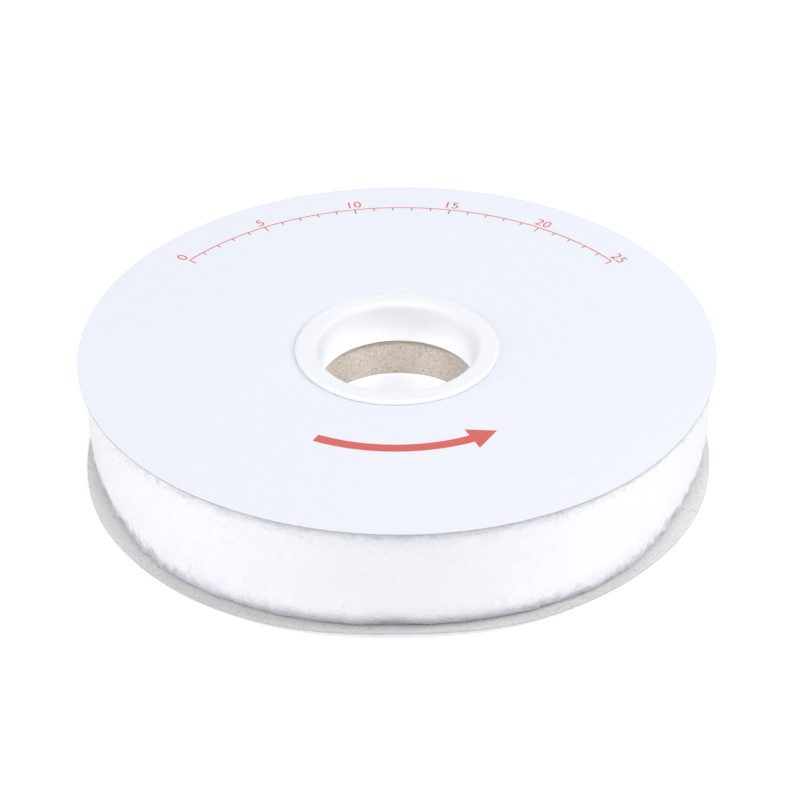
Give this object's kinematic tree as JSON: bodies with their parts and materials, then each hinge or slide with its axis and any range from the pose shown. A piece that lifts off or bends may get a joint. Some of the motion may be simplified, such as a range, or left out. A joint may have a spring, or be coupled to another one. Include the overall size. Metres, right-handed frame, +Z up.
{
  "type": "hook and loop tape roll",
  "caption": "White brushed loop tape wound full on a flanged card spool with moulded plastic bushes and a paper core; its free end lifts off the roll.",
  "frame": {"origin": "on the spool's axis, at the floor that the lower bush stands on", "axes": "+Z up along the spool's axis; the tape's free end lies at the back, at +Y"},
  "size_m": [0.276, 0.276, 0.0566],
  "materials": {
    "moulded_plastic": "satin",
    "coated_paper": "satin",
    "grey_board": "matte",
    "core_board": "matte",
    "adhesive_strip": "matte",
    "loop_tape": "matte"
  },
  "bodies": {
    "roll": {"top_bush": "moulded_plastic", "bottom_bush": "moulded_plastic", "top_flange_liner": "coated_paper", "bottom_flange_liner": "coated_paper", "top_flange_board": "grey_board", "bottom_flange_board": "grey_board", "core_tube": "core_board", "core_start_tape": "adhesive_strip", "tape_inner_turns": "loop_tape", "tape_outer_turn": "loop_tape"},
    "tail": {"tape_tail": "loop_tape"}
  },
  "joints": [
    {"name": "tail_lift", "type": "hinge", "parent": "roll", "child": "tail", "pos_m": [0.02652, 0.13345, 0.02832], "axis": [0, 0, -1], "range_deg": [0, 90], "stiffness_Nm_per_rad": 0.001}
  ]
}
